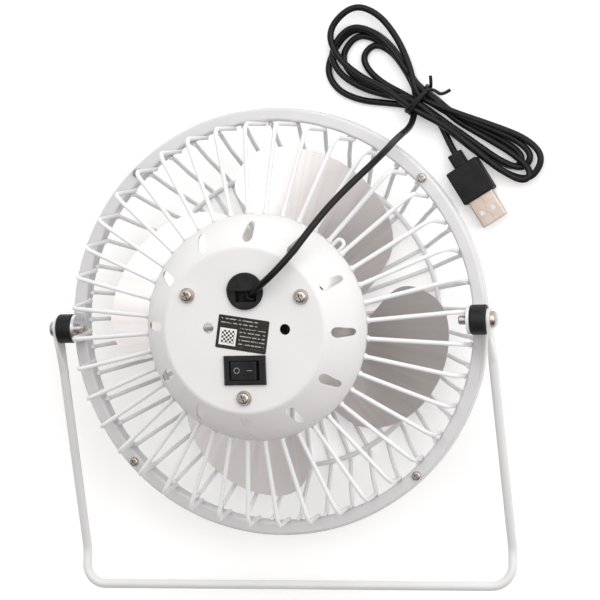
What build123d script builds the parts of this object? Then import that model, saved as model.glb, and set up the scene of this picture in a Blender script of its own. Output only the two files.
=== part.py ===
from build123d import *
from math import cos, pi, radians, sin, tan
import os

# A small USB desk fan with a six-inch rotor, lying face down.
# Millimetres. The origin is the middle of the front cage's flat face, +Z points out of the
# fan's back, +Y points away from the stand's foot bar and X is the stand's hinge direction.

# Band that joins the two cages
BAND_RADIUS = 92.0
BAND_INNER_RADIUS = 86.1
BAND_BACK_Z = 34.0
BAND_SHEET = 0.8
BAND_OUTER_DEPTH = 7.0
BAND_INNER_DEPTH = 4.0
FRONT_LIP_Z = 26.5
BAND_SCREW_CIRCLE = 89.2
BAND_SCREW_ANGLE = 41.9
BAND_SCREW_HEAD = (2.0, 1.4)
BAND_SCREW_RADIUS = 1.0
BAND_SCREW_LENGTH = 4.5

# Cages
CAGE_WIRE = 1.9
WIRE_RADIUS = CAGE_WIRE / 2
REAR_WIRES = 40
FRONT_WIRES = 45
WELD_RADIUS = BAND_INNER_RADIUS - WIRE_RADIUS
REAR_CORNER_Z = 55.4
REAR_CORNER_BEND = 5.0
REAR_FOOT_Z = 31.2
FRONT_WELD_TOP_Z = 30.5
FRONT_SHOULDER = (78.0, 18.2)
FRONT_FACE_CORNER_RADIUS = 67.0
CENTRE_RING_RADIUS = 21.6
FRONT_WIRE_INNER_RADIUS = 20.2
STIFFENING_RING_RADIUS = 65.5
STIFFENING_RING_WIRE = 2.2

# Rear housing: a pressed dish with a flat plate
RIM_RADIUS = 47.4
RIM_Z = 63.3
RIM_HEIGHT = 1.8
PLATE_RADIUS = 34.2
PLATE_Z = 82.0
HOUSING_SHEET = 0.8
PLATE_UNDER_Z = PLATE_Z - HOUSING_SHEET
HOUSING_BULGE = (40.3, 76.0)
PATTERN_TURN = -2.0
SLOT_COUNT = 12
SLOT_MIDDLE_RADIUS = 40.3
SLOT_LENGTH = 8.2
SLOT_INNER_WIDTH = 4.4
SLOT_OUTER_WIDTH = 3.2
PLATE_SCREW_CIRCLE = 28.0
PLATE_SCREW_ANGLE = 30 + PATTERN_TURN
PLATE_SCREW_HEAD = (2.6, 1.9)
PLATE_SCREW_RADIUS = 1.5
PLATE_SCREW_LENGTH = 9.0
WASHER_HOLE_RADIUS = 1.6
WASHER_THICKNESS = 0.5
PEEP_HOLE_RADIUS = 2.25
PEEP_HOLES = ((-15.2, 1.2), (17.4, 0.0))
HOOK_WIRE = 1.6
HOOK_HALF_WIDTH = 1.8
HOOK_RADII = (43.5, 51.4)
HOOK_ANGLE = 42.6

# Things on the plate
GROMMET_CENTRE = (1.2, 16.05)
GROMMET_RADIUS = 7.65
GROMMET_NECK_RADIUS = 6.2
GROMMET_TOP_Z = 84.0
GROMMET_NECK_BOTTOM_Z = 76.0
CHANNEL_Y = 14.0
CHANNEL_WIDTH = 4.7
CHANNEL_DEPTH = 1.0
POCKET_X = 1.6
POCKET_LENGTH = 9.0
POCKET_DEPTH = 5.5
COLLAR_RADIUS = 2.1
COLLAR_LENGTH = 4.5
LABEL_CENTRE = (-0.7, -1.6)
LABEL_SIZE = (21.7, 13.7)
LABEL_TURN = -9.5
LABEL_THICKNESS = 0.2
SWITCH_Y = -16.4
BEZEL_SIZE = (17.7, 12.1)
BEZEL_TOP_Z = 83.9
SWITCH_BODY_SIZE = (15.8, 10.2)
SWITCH_BODY_BOTTOM_Z = 70.0
ROCKER_SIZE = (11.6, 7.5)
ROCKER_PIVOT_Z = 81.5
ROCKER_TILT = 8.0
ROCKER_POCKET = (12.8, 8.1)
ROCKER_POCKET_DEPTH = 7.0
ROCKER_PIN_RADIUS = 1.0
ROCKER_PIN_LENGTH = 9.3
ROCKER_END_HEIGHT = 3.0
ROCKER_DISH_HEIGHT = 2.3
ROCKER_SKIRT_DEPTH = 1.0
ROCKER_KEEL_HALF_WIDTH = 1.6
ROCKER_KEEL_DEPTH = 3.2
SWITCH_TAB = (0.8, 4.0, 4.0)
SWITCH_TAB_X = 4.0

# Motor, on the fan's own axis
SHAFT_RADIUS = 1.15
SHAFT_CLEARANCE = 0.03
SHAFT_ENDS_Z = (17.0, 62.3)
CAN_RADIUS = 13.8
CAN_Z = (42.3, 61.0)
CAN_WALL = 0.9
CAN_BOSS_RADIUS = 4.0
CAN_BOSS_Z = 39.8
FRONT_BUSH_RADIUS = 2.6
REAR_BUSH_RADIUS = 2.4
END_CAP_FLOOR = 0.7
MOTOR_TAB = (0.78, 2.98, 6.5)
MOTOR_TAB_X = 6.0
END_CAP_TOP_Z = 63.5
CORE_RADIUS = 10.1
CORE_Z = (46.0, 54.0)
CORE_HUB_RADIUS = 3.6
POLE_WIDTH = 3.0
SHOE_DEPTH = 1.8
SHOE_GAP = 2.4
COIL_MIDDLE_RADIUS = 6.2
COIL_DEPTH = 3.6
COIL_WIDTH = 6.4
COIL_OVERHANG = 1.4
MAGNET_RADII = (10.6, 12.85)
MAGNET_Z = (45.0, 58.0)
MAGNET_GAP = 12.0
COMMUTATOR_RADIUS = 2.6
COMMUTATOR_Z = (55.8, 59.2)
BRUSH_Z = 57.5
BRUSH_STRIP = (6.4, 1.6, 2.0)
BRUSH_LEG_THICKNESS = 0.8
HOLDER_RADIUS = 15.6
HOLDER_BORE_RADIUS = 14.0
HOLDER_Z = (41.0, 61.0)
HOLDER_POST_RADIUS = 3.5
HOLDER_ARM_WIDTH = 5.0
HOLDER_ARM_HEIGHT = 4.0

# Rotor blades: four arms of one sheet, each a turn of a helix
BLADES = 4
BLADE_SHEET = 0.8
BLADE_PLATE_Z = 20.6
BLADE_PLATE_RADIUS = 18.0
BLADE_TWIST_RADIUS = 34.0
BLADE_RISE_PER_DEGREE = 0.37
BLADE_MIDDLE_ANGLE = -32.0
BLADE_OUTER_EDGE = (
    (41, 2),
    (50, 10.5),
    (59, 14),
    (67, 10.8),
    (73, 5),
    (75.3, -7),
    (72.4, -27),
    (65.4, -45),
    (55.8, -58),
    (45, -65.5),
    (33.5, -74),
)
BLADE_ROOT = ((23, -56), (15, -58), (15, -8), (24, -10))
HUB_PILOT_RADIUS = 3.2
HUB_FLANGE_THICKNESS = 2.0
HUB_FLANGE_RADIUS = 12.0
HUB_BOSS_RADIUS = 6.0
HUB_TOP_Z = 36.0
HUB_RIVETS = 3
RIVET_CIRCLE = 9.0
RIVET_ANGLE = 45
RIVET_RADIUS = 1.0
RIVET_HEAD = (1.8, 0.8)
BLADE_CAP_RADIUS = 6.2
BLADE_CAP_HEIGHT = 4.6

# Stand and its pivots
PIVOT_Z = 44.9
PIVOT_SCREW_RADIUS = 1.98
PIVOT_HOLE_RADIUS = 2.05
BRACKET_X = (86.1, 87.4)
BRACKET_HALF_WIDTH = 6.0
BRACKET_FOOT = 4.6
PIVOT_SCREW_TIP_X = 82.2
SPACER_END_X = 94.45
SPACER_RADIUS = 6.3
STAND_ROD = 4.0
STAND_EYE_X = 95.2
STAND_EYE_THICKNESS = 1.4
STAND_EYE_RADIUS = 4.7
STAND_DROOP = 16.1
STAND_FLAT_LENGTH = 7.0
STAND_BLEND_END = 19.0
STAND_BLEND_TIP = 3.96
STAND_KINK = (96.5, -101.2, 15.6)
STAND_BAR = (96.5, -116.0, 19.0)
STAND_CORNER_BEND = 9.0
STAND_KINK_BEND = 12.0
PIVOT_HEAD_RADIUS = 3.5
PIVOT_HEAD_HEIGHT = 2.4

# Cord
CORD = 2.9
CORD_ROUTE = (
    (3.6, 14.2, 81.6),
    (6.8, 16.8, 86.2),
    (13.5, 21.6, 88.6),
    (22.3, 30.4, 87.0),
    (29.6, 40.7, 81.6),
    (37.0, 50.4, 75.2),
    (44.6, 58.5, 69.6),
    (51.5, 65.2, 65.2),
    (56.8, 71.4, 58.0),
    (58.3, 75.6, 47.0),
    (58.4, 78.6, 32.0),
    (58.1, 80.6, 20.0),
    (57.9, 83.6, 10.0),
    (58.0, 89.0, 4.4),
    (58.4, 95.5, 2.4),
)
PLUG_LEAD_ROUTE = (
    (67.6, 84.4, 2.4),
    (70.4, 79.0, 2.6),
    (72.9, 73.4, 3.6),
    (75.0, 69.6, 4.0),
)

# Hank of spare cord, tied in the middle: the plan of its outside, and its height
HANK_HEIGHT = 8.8
HANK_OUTLINE = (
    (57.0, 89.6),
    (40.0, 93.6),
    (28.0, 98.6),
    (20.4, 107.4),
    (19.2, 119.0),
    (23.4, 130.6),
    (33.6, 135.0),
    (44.6, 132.4),
    (53.0, 123.6),
    (59.4, 110.4),
    (65.4, 96.6),
    (78.0, 90.0),
    (97.6, 82.0),
    (110.0, 74.4),
    (114.2, 65.0),
    (109.6, 56.6),
    (103.4, 53.6),
    (84.8, 69.6),
    (68.8, 78.6),
)
HANK_ROUNDING = 2.5
TIE_CENTRE = (60.6, 92.9)
TIE_TURN = 36.0
TIE_SPAN = 13.4
TIE_WIRE = 1.5

# Thin leads inside the housing
LEAD = 1.2
RED_SUPPLY_ROUTE = (
    (-0.5, 14.0, 76.0),
    (-1.6, 13.0, 72.4),
    (-7.0, 9.4, 71.4),
    (-14.2, 2.4, 73.6),
    (-13.6, -7.4, 71.4),
    (-9.0, -15.0, 68.6),
    (-4.4, -16.4, 67.8),
)
RED_MOTOR_ROUTE = (
    (4.4, -16.4, 67.8),
    (8.6, -15.0, 68.2),
    (10.6, -10.0, 70.0),
    (9.6, -4.0, 71.6),
    (6.8, -0.4, 71.0),
    (6.0, 0.0, 67.5),
)
BLACK_MOTOR_ROUTE = (
    (3.0, 14.0, 76.0),
    (2.2, 12.4, 72.0),
    (-1.6, 7.0, 70.2),
    (-5.4, 1.6, 70.8),
    (-6.0, 0.0, 67.5),
)

# USB plug, lying flat
PLUG_CENTRE = (81.7, 57.4)
PLUG_TURN = -60.0
OVERMOLD_LENGTH = 15.8
OVERMOLD_WIDTH = 15.2
OVERMOLD_HEIGHT = 8.0
NECK_LENGTH = 6.0
NECK_WIDTH = 6.4
SHELL_LENGTH = 12.0
SHELL_WIDTH = 12.0
SHELL_HEIGHT = 4.5
SHELL_WALL = 0.35
LATCH_HOLE = 2.3
LATCH_HOLE_Y = 2.75
LATCH_HOLE_REACH = 6.4
CONTACT_SIZE = (8.0, 1.0, 0.15)
CONTACT_Y = (-3.5, -1.0, 1.0, 3.5)
TONGUE_HEIGHT = 1.9


def polar(radius, angle, z=0.0):
    return (radius * cos(radians(angle)), radius * sin(radians(angle)), z)


def around(shape, count, start=0.0):
    """Copies of a shape set evenly round the fan's axis."""
    return [Rot(0, 0, start + 360 * i / count) * shape for i in range(count)]


def mirrored_pair(shape):
    return [shape, mirror(shape, about=Plane.YZ)]


def turned(corners):
    """Solid of revolution round the fan's axis, from corners given as (radius, z, rounding)."""
    points = [(radius, 0, z) for radius, z, _ in corners]
    outline = FilletPolyline(*points, radius=[rounding for _, _, rounding in corners], close=True)
    return revolve(make_face(outline), axis=Axis.Z)


def disc(radius, bottom, top, hole=0.0):
    """Upright round plate or tube on the fan's axis."""
    ring = Circle(radius) - Circle(hole) if hole else Circle(radius)
    return extrude(Pos(0, 0, bottom) * ring, amount=top - bottom)


def rod(path, diameter):
    section = Plane(origin=path @ 0, z_dir=path % 0) * Circle(diameter / 2)
    return sweep(section, path=path)


def soft_radii(points):
    """Largest tangent arcs that a cord's runs leave room for."""
    radii = []
    for before, here, after in zip(points, points[1:], points[2:]):
        run_in = Vector(*here) - Vector(*before)
        run_out = Vector(*after) - Vector(*here)
        turn = run_in.get_angle(run_out)
        radii.append(0.45 * min(run_in.length, run_out.length) / tan(radians(turn / 2)))
    return radii


def soft_tube(name, points, diameter):
    """Cord as straight runs joined by tangent arcs, with its bends and volume printed."""
    radii = soft_radii(points)
    path = FilletPolyline(*points, radius=radii)
    tube = rod(path, diameter)
    expected = pi * diameter**2 / 4 * path.length
    print(name, "bend radii", [round(radius, 1) for radius in radii])
    print(name, f"length {path.length:.1f}, volume {tube.volume:.1f}, section times length {expected:.1f}")
    return tube


def cross_recess(size, depth):
    """Driver recess, pointing down from the origin."""
    arms = Rectangle(size, size / 4) + Rectangle(size / 4, size)
    return extrude(arms, amount=-depth, taper=12)


def pan_screw(head_radius, head_height, shank_radius, shank_length):
    """Pan-head screw along Z, with the underside of its head at the origin."""
    head = extrude(Circle(head_radius), amount=head_height)
    head = fillet(head.edges().group_by(Axis.Z)[-1], head_height * 0.6)
    head -= Pos(0, 0, head_height) * cross_recess(head_radius * 1.15, head_height * 0.6)
    shank = Pos(0, 0, -shank_length) * Cylinder(
        shank_radius, shank_length, align=(Align.CENTER, Align.CENTER, Align.MIN)
    )
    return head + shank


# Band and cages


def rear_band():
    inside = BAND_INNER_RADIUS + BAND_SHEET
    outside = BAND_RADIUS - BAND_SHEET
    under = BAND_BACK_Z - BAND_SHEET
    band = turned([
        (BAND_INNER_RADIUS, BAND_BACK_Z - BAND_INNER_DEPTH, 0.3),
        (BAND_INNER_RADIUS, BAND_BACK_Z, 1.2),
        (BAND_RADIUS, BAND_BACK_Z, 1.2),
        (BAND_RADIUS, BAND_BACK_Z - BAND_OUTER_DEPTH, 0.3),
        (outside, BAND_BACK_Z - BAND_OUTER_DEPTH, 0.3),
        (outside, under, 0.4),
        (inside, under, 0.4),
        (inside, BAND_BACK_Z - BAND_INNER_DEPTH, 0.3),
    ])
    hole = Pos(BAND_SCREW_CIRCLE, 0, BAND_BACK_Z) * Cylinder(BAND_SCREW_RADIUS + 0.15, 4)
    for cutter in around(hole, 4, BAND_SCREW_ANGLE):
        band -= cutter
    return band


def front_band():
    """Ring inside the channel that carries the front wires and takes the band screws."""
    top = BAND_BACK_Z - BAND_SHEET - 0.1
    seam = BAND_BACK_Z - BAND_INNER_DEPTH - 0.1
    outer_wall = BAND_INNER_RADIUS + BAND_SHEET + 0.1
    band = turned([
        (BAND_INNER_RADIUS, FRONT_LIP_Z, 0.3),
        (BAND_INNER_RADIUS, seam, 0.3),
        (outer_wall, seam, 0),
        (outer_wall, top, 0.3),
        (BAND_RADIUS - BAND_SHEET - 0.1, top, 0),
        (BAND_RADIUS - BAND_SHEET - 0.1, top - BAND_SHEET, 0),
        (outer_wall + BAND_SHEET, top - BAND_SHEET, 0.3),
        (outer_wall + BAND_SHEET, seam - BAND_SHEET, 0),
        (BAND_INNER_RADIUS + BAND_SHEET, seam - BAND_SHEET, 0),
        (BAND_INNER_RADIUS + BAND_SHEET, FRONT_LIP_Z, 0.3),
    ])
    hole = Pos(BAND_SCREW_CIRCLE, 0, top) * Cylinder(BAND_SCREW_RADIUS, 4)
    for cutter in around(hole, 4, BAND_SCREW_ANGLE):
        band -= cutter
    return band


def rear_cage_wires():
    """Each wire runs out from the housing's rim, bends at the corner and drops to the band."""
    path = FilletPolyline(
        polar(RIM_RADIUS + 0.02, 2.1, RIM_Z),
        polar(WELD_RADIUS, 2.7, REAR_CORNER_Z),
        polar(WELD_RADIUS, 1.4, REAR_FOOT_Z),
        radius=REAR_CORNER_BEND,
    )
    return around(rod(path, CAGE_WIRE), REAR_WIRES)


def front_cage_wires():
    """Each wire drops from the band, slopes in and runs flat across the front face."""
    shoulder_radius, shoulder_z = FRONT_SHOULDER
    path = FilletPolyline(
        (WELD_RADIUS, 0, FRONT_WELD_TOP_Z),
        (WELD_RADIUS, 0, FRONT_LIP_Z),
        (shoulder_radius, 0, shoulder_z),
        (FRONT_FACE_CORNER_RADIUS, 0, WIRE_RADIUS),
        (FRONT_WIRE_INNER_RADIUS, 0, WIRE_RADIUS),
        radius=[4, 8, 4],
    )
    return around(rod(path, CAGE_WIRE), FRONT_WIRES, 2.1)


def wire_ring(radius, diameter, z):
    return Pos(0, 0, z) * Torus(radius, diameter / 2)


def front_stiffening_ring():
    z = CAGE_WIRE + STIFFENING_RING_WIRE / 2 + 0.1
    return wire_ring(STIFFENING_RING_RADIUS, STIFFENING_RING_WIRE, z)


def front_centre_ring():
    return wire_ring(CENTRE_RING_RADIUS, CAGE_WIRE, CAGE_WIRE * 1.5)


def front_centre_cap():
    """Flat badge disc whose lip hooks over the centre ring from behind."""
    rim = FRONT_WIRE_INNER_RADIUS - 0.2
    lip_z = CAGE_WIRE * 2 + 0.1
    return turned([
        (0, 0, 0),
        (rim, 0, 0.6),
        (rim, lip_z, 0),
        (CENTRE_RING_RADIUS + 1.2, lip_z, 0),
        (CENTRE_RING_RADIUS + 1.2, lip_z + 0.8, 0.3),
        (rim - 0.8, lip_z + 0.8, 0.5),
        (rim - 0.8, 0.9, 0.3),
        (0, 0.9, 0),
    ])


# Rear housing and what is on its plate


def housing_slots():
    inner = SLOT_INNER_WIDTH / 2
    outer = SLOT_OUTER_WIDTH / 2
    near = SLOT_MIDDLE_RADIUS - SLOT_LENGTH / 2 + inner
    far = SLOT_MIDDLE_RADIUS + SLOT_LENGTH / 2 - outer
    ends = (Pos(near, 0) * Circle(inner)).edges() + (Pos(far, 0) * Circle(outer)).edges()
    slot = Pos(0, 0, RIM_Z) * extrude(make_hull(ends), amount=PLATE_Z - RIM_Z)
    return around(slot, SLOT_COUNT, PATTERN_TURN - 0.9)


def rear_housing():
    low = RIM_Z - RIM_HEIGHT / 2
    high = RIM_Z + RIM_HEIGHT / 2
    bulge_radius, bulge_z = HOUSING_BULGE
    sheet = HOUSING_SHEET
    profile = [
        Line((RIM_RADIUS - 1.2, 0, low), (RIM_RADIUS, 0, low)),
        Line((RIM_RADIUS, 0, low), (RIM_RADIUS, 0, high)),
        ThreePointArc((RIM_RADIUS, 0, high), (bulge_radius, 0, bulge_z), (PLATE_RADIUS, 0, PLATE_Z)),
        Line((PLATE_RADIUS, 0, PLATE_Z), (0, 0, PLATE_Z)),
        Line((0, 0, PLATE_Z), (0, 0, PLATE_UNDER_Z)),
        Line((0, 0, PLATE_UNDER_Z), (PLATE_RADIUS - 0.4, 0, PLATE_UNDER_Z)),
        ThreePointArc(
            (PLATE_RADIUS - 0.4, 0, PLATE_UNDER_Z),
            (bulge_radius - sheet * 0.8, 0, bulge_z - sheet * 0.6),
            (RIM_RADIUS - 1.2, 0, high),
        ),
        Line((RIM_RADIUS - 1.2, 0, high), (RIM_RADIUS - 1.2, 0, low)),
    ]
    shell = revolve(make_face(Wire(profile)), axis=Axis.Z)
    crease = shell.edges().filter_by(GeomType.CIRCLE).filter_by(
        lambda edge: abs(edge.radius - PLATE_RADIUS) < 0.01
    )
    shell = fillet(crease, 2.5)
    for slot in housing_slots():
        shell -= slot
    screw_hole = Pos(PLATE_SCREW_CIRCLE, 0) * Circle(WASHER_HOLE_RADIUS)
    holes = around(screw_hole, 3, PLATE_SCREW_ANGLE)
    holes += [Pos(*centre) * Circle(PEEP_HOLE_RADIUS) for centre in PEEP_HOLES]
    holes += [Pos(*GROMMET_CENTRE) * Circle(GROMMET_NECK_RADIUS)]
    holes += [Pos(0, SWITCH_Y) * Rectangle(*SWITCH_BODY_SIZE)]
    for hole in holes:
        shell -= Pos(0, 0, PLATE_UNDER_Z - 1) * extrude(hole, amount=HOUSING_SHEET + 2)
    return shell


def plate_screw_places():
    return [Pos(*polar(PLATE_SCREW_CIRCLE, PLATE_SCREW_ANGLE + 120 * i, PLATE_Z)) for i in range(3)]


def housing_washers():
    washer = extrude(Circle(2 * WASHER_HOLE_RADIUS) - Circle(WASHER_HOLE_RADIUS), amount=WASHER_THICKNESS)
    return [place * washer for place in plate_screw_places()]


def housing_screws():
    screw = pan_screw(*PLATE_SCREW_HEAD, PLATE_SCREW_RADIUS, PLATE_SCREW_LENGTH)
    return [place * Pos(0, 0, WASHER_THICKNESS) * Rot(0, 0, 25) * screw for place in plate_screw_places()]


def band_screws():
    screw = pan_screw(*BAND_SCREW_HEAD, BAND_SCREW_RADIUS, BAND_SCREW_LENGTH)
    place = Pos(BAND_SCREW_CIRCLE, 0, BAND_BACK_Z) * screw
    return around(place, 4, BAND_SCREW_ANGLE)


def wire_hook():
    """Small hairpin of wire welded under the housing's rim, between two cage wires."""
    z = RIM_Z - RIM_HEIGHT / 2 - HOOK_WIRE / 2
    inner, outer = HOOK_RADII
    path = FilletPolyline(
        (inner, -HOOK_HALF_WIDTH, z),
        (outer, -HOOK_HALF_WIDTH, z),
        (outer, HOOK_HALF_WIDTH, z),
        (inner, HOOK_HALF_WIDTH, z),
        radius=HOOK_WIRE,
    )
    return Rot(0, 0, HOOK_ANGLE) * rod(path, HOOK_WIRE)


def cable_grommet():
    """Snap-in bush with a channel across its head and a deep pocket where the cord comes out."""
    x, y = GROMMET_CENTRE
    head_height = GROMMET_TOP_Z - PLATE_Z
    head = Pos(x, y, PLATE_Z) * extrude(Circle(GROMMET_RADIUS), amount=head_height)
    head = fillet(head.edges().group_by(Axis.Z)[-1], 0.7)
    neck_height = PLATE_Z - GROMMET_NECK_BOTTOM_Z
    neck = Pos(x, y, GROMMET_NECK_BOTTOM_Z) * extrude(Circle(GROMMET_NECK_RADIUS - 0.02), amount=neck_height)
    channel = Pos(x, CHANNEL_Y, GROMMET_TOP_Z) * Box(3 * GROMMET_RADIUS, CHANNEL_WIDTH, 2 * CHANNEL_DEPTH)
    pocket = Pos(POCKET_X, CHANNEL_Y, GROMMET_TOP_Z) * Box(POCKET_LENGTH, CHANNEL_WIDTH, 2 * POCKET_DEPTH)
    start = Vector(*CORD_ROUTE[0])
    along = (Vector(*CORD_ROUTE[1]) - start).normalized()
    collar_base = Plane(origin=start - along * COLLAR_LENGTH, z_dir=along)
    collar = extrude(collar_base * Circle(COLLAR_RADIUS), amount=COLLAR_LENGTH)
    notch = rod(FilletPolyline(*CORD_ROUTE[:4], radius=soft_radii(CORD_ROUTE[:4])), CORD + 0.2)
    return head + neck - channel - pocket - notch + collar


def rating_label():
    sheet = RectangleRounded(*LABEL_SIZE, radius=0.6)
    return Pos(*LABEL_CENTRE, PLATE_Z) * Rot(0, 0, LABEL_TURN) * extrude(sheet, amount=LABEL_THICKNESS)


def switch_body():
    bezel = Pos(0, SWITCH_Y, PLATE_Z) * extrude(Rectangle(*BEZEL_SIZE), amount=BEZEL_TOP_Z - PLATE_Z)
    bezel = chamfer(bezel.edges().group_by(Axis.Z)[-1], 0.7)
    depth = PLATE_Z - SWITCH_BODY_BOTTOM_Z
    width, height = SWITCH_BODY_SIZE
    inside_cutout = Rectangle(width - 0.04, height - 0.04)
    body = Pos(0, SWITCH_Y, SWITCH_BODY_BOTTOM_Z) * extrude(inside_cutout, amount=depth)
    pocket = Pos(0, SWITCH_Y, BEZEL_TOP_Z) * Box(*ROCKER_POCKET, 2 * ROCKER_POCKET_DEPTH)
    pin_hole = Cylinder(ROCKER_PIN_RADIUS + 0.06, ROCKER_PIN_LENGTH + 0.3)
    pin_hole = Pos(0, SWITCH_Y, ROCKER_PIVOT_Z) * Rot(90, 0, 0) * pin_hole
    return bezel + body - pocket - pin_hole


def switch_rocker():
    """Rocker with a dished top, resting with its off side pressed."""
    length, width = ROCKER_SIZE
    half = length / 2
    outline = Polyline(
        (-half, 0, -ROCKER_SKIRT_DEPTH),
        (-half, 0, ROCKER_END_HEIGHT),
        (0, 0, ROCKER_DISH_HEIGHT),
        (half, 0, ROCKER_END_HEIGHT),
        (half, 0, -ROCKER_SKIRT_DEPTH),
        (ROCKER_KEEL_HALF_WIDTH, 0, -ROCKER_KEEL_DEPTH),
        (-ROCKER_KEEL_HALF_WIDTH, 0, -ROCKER_KEEL_DEPTH),
        close=True,
    )
    block = extrude(make_face(outline), amount=width / 2, both=True)
    block = fillet(block.edges().filter_by(Axis.Y).group_by(Axis.Z)[-1], 0.5)
    pin = Rot(90, 0, 0) * Cylinder(ROCKER_PIN_RADIUS, ROCKER_PIN_LENGTH)
    return Pos(0, SWITCH_Y, ROCKER_PIVOT_Z) * Rot(0, -ROCKER_TILT, 0) * (block + pin)


def switch_terminals():
    tab = Box(*SWITCH_TAB, align=(Align.CENTER, Align.CENTER, Align.MAX))
    return [Pos(x, SWITCH_Y, SWITCH_BODY_BOTTOM_Z) * tab for x in (-SWITCH_TAB_X, SWITCH_TAB_X)]


# Motor and its holder


def motor_holder():
    """Moulded cup with three posts that reach up to the plate screws."""
    low, high = HOLDER_Z
    cup = disc(HOLDER_RADIUS, low, high) - disc(HOLDER_BORE_RADIUS, low + 1.3, high)
    cup -= disc(CAN_BOSS_RADIUS + 0.3, low - 1, high)
    arm_middle = (HOLDER_BORE_RADIUS + PLATE_SCREW_CIRCLE) / 2 + 0.5
    arm_length = PLATE_SCREW_CIRCLE - HOLDER_BORE_RADIUS - 1
    arm_bottom = high - HOLDER_ARM_HEIGHT
    arm = Pos(arm_middle, 0, high - HOLDER_ARM_HEIGHT / 2) * Box(
        arm_length, HOLDER_ARM_WIDTH, HOLDER_ARM_HEIGHT
    )
    post = extrude(Circle(HOLDER_POST_RADIUS), amount=PLATE_UNDER_Z - arm_bottom)
    post = Pos(PLATE_SCREW_CIRCLE, 0, arm_bottom) * post
    for piece in around(arm + post, 3, PLATE_SCREW_ANGLE):
        cup += piece
    hole = Pos(PLATE_SCREW_CIRCLE, 0, PLATE_UNDER_Z) * Cylinder(PLATE_SCREW_RADIUS, 18)
    for cutter in around(hole, 3, PLATE_SCREW_ANGLE):
        cup -= cutter
    return cup


def motor_can():
    low, high = CAN_Z
    can = disc(CAN_RADIUS, low, high) - disc(CAN_RADIUS - CAN_WALL, low + 1, high)
    can = fillet(can.edges().group_by(Axis.Z)[0], 0.8)
    return can + disc(CAN_BOSS_RADIUS, CAN_BOSS_Z, low + 1) - disc(FRONT_BUSH_RADIUS, CAN_BOSS_Z, low + 1)


def motor_end_cap():
    top = CAN_Z[1]
    cap = disc(CAN_RADIUS, top, END_CAP_TOP_Z)
    cap = fillet(cap.edges().group_by(Axis.Z)[-1], 0.6)
    cap += disc(CAN_RADIUS - CAN_WALL - 0.05, top - 1.5, top, hole=11.0)
    cap += disc(REAR_BUSH_RADIUS + 1.2, top - 1.2, top)
    cap -= disc(REAR_BUSH_RADIUS, top - 1.2, END_CAP_TOP_Z - END_CAP_FLOOR)
    tab_thickness, tab_width, _ = MOTOR_TAB
    for x in (-MOTOR_TAB_X, MOTOR_TAB_X):
        cap -= Pos(x, 0, top) * Box(tab_thickness + 0.02, tab_width + 0.02, 8.0)
    return cap


def motor_bushes():
    bore = SHAFT_RADIUS + SHAFT_CLEARANCE
    front = disc(FRONT_BUSH_RADIUS, CAN_BOSS_Z, CAN_Z[0] + 1, hole=bore)
    rear = disc(REAR_BUSH_RADIUS, CAN_Z[1] - 1.2, END_CAP_TOP_Z - END_CAP_FLOOR, hole=bore)
    return [front, rear]


def motor_magnets():
    inner, outer = MAGNET_RADII
    low, high = MAGNET_Z
    ring = disc(outer, low, high, hole=inner)
    gap = Pos(0, 0, (low + high) / 2) * Box(MAGNET_GAP, 3 * outer, 2 * (high - low))
    return list((ring - gap).solids())


def motor_brushes():
    x = COMMUTATOR_RADIUS + 0.05
    length, width, height = BRUSH_STRIP
    bottom = BRUSH_Z - height / 2
    strip = Pos(x, 0, bottom) * Box(*BRUSH_STRIP, align=(Align.MIN, Align.CENTER, Align.MIN))
    leg = Box(BRUSH_LEG_THICKNESS, width, CAN_Z[1] - bottom, align=(Align.MAX, Align.CENTER, Align.MIN))
    leg = Pos(x + length, 0, bottom) * leg
    return around(strip + leg, 2, 90)


def motor_terminals():
    tab = Box(*MOTOR_TAB, align=(Align.CENTER, Align.CENTER, Align.MIN))
    return [Pos(x, 0, CAN_Z[1]) * tab for x in (-MOTOR_TAB_X, MOTOR_TAB_X)]


def motor_shaft():
    low, high = SHAFT_ENDS_Z
    return disc(SHAFT_RADIUS, low, high)


def armature_core():
    """Three-pole laminated core."""
    low, high = CORE_Z
    core = Circle(CORE_HUB_RADIUS)
    for pole in around(Pos(CORE_RADIUS / 2 + 1, 0) * Rectangle(CORE_RADIUS - 2, POLE_WIDTH), 3):
        core += pole
    shoe = Circle(CORE_RADIUS) - Circle(CORE_RADIUS - SHOE_DEPTH)
    for opening in around(Pos(CORE_RADIUS, 0) * Rectangle(CORE_RADIUS - 2, SHOE_GAP), 3, 60):
        shoe -= opening
    core = core + shoe - Circle(SHAFT_RADIUS)
    return extrude(Pos(0, 0, low) * core, amount=high - low)


def armature_windings():
    low, high = CORE_Z
    height = high - low
    coil = Box(COIL_DEPTH, COIL_WIDTH, height + 2 * COIL_OVERHANG)
    coil -= Box(COIL_DEPTH, POLE_WIDTH + 0.1, height + 0.1)
    coil = Pos(COIL_MIDDLE_RADIUS, 0, (low + high) / 2) * coil
    coil = fillet(coil.edges().filter_by(Axis.X).group_by(SortBy.LENGTH)[-1], 0.4)
    inside = disc(CORE_RADIUS - SHOE_DEPTH - 0.1, low - 2, high + 2)
    return around(coil & inside, 3)


def commutator():
    low, high = COMMUTATOR_Z
    return disc(COMMUTATOR_RADIUS, low, high, hole=SHAFT_RADIUS)


# Rotor


def blade_height(radius, angle):
    """Height of the sheet's middle: flat at the centre plate, a helix further out."""
    share = (radius - BLADE_PLATE_RADIUS) / (BLADE_TWIST_RADIUS - BLADE_PLATE_RADIUS)
    share = min(1.0, max(0.0, share))
    twist = share * share * (3 - 2 * share)
    return BLADE_PLATE_Z + twist * BLADE_RISE_PER_DEGREE * (angle - BLADE_MIDDLE_ANGLE)


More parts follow.
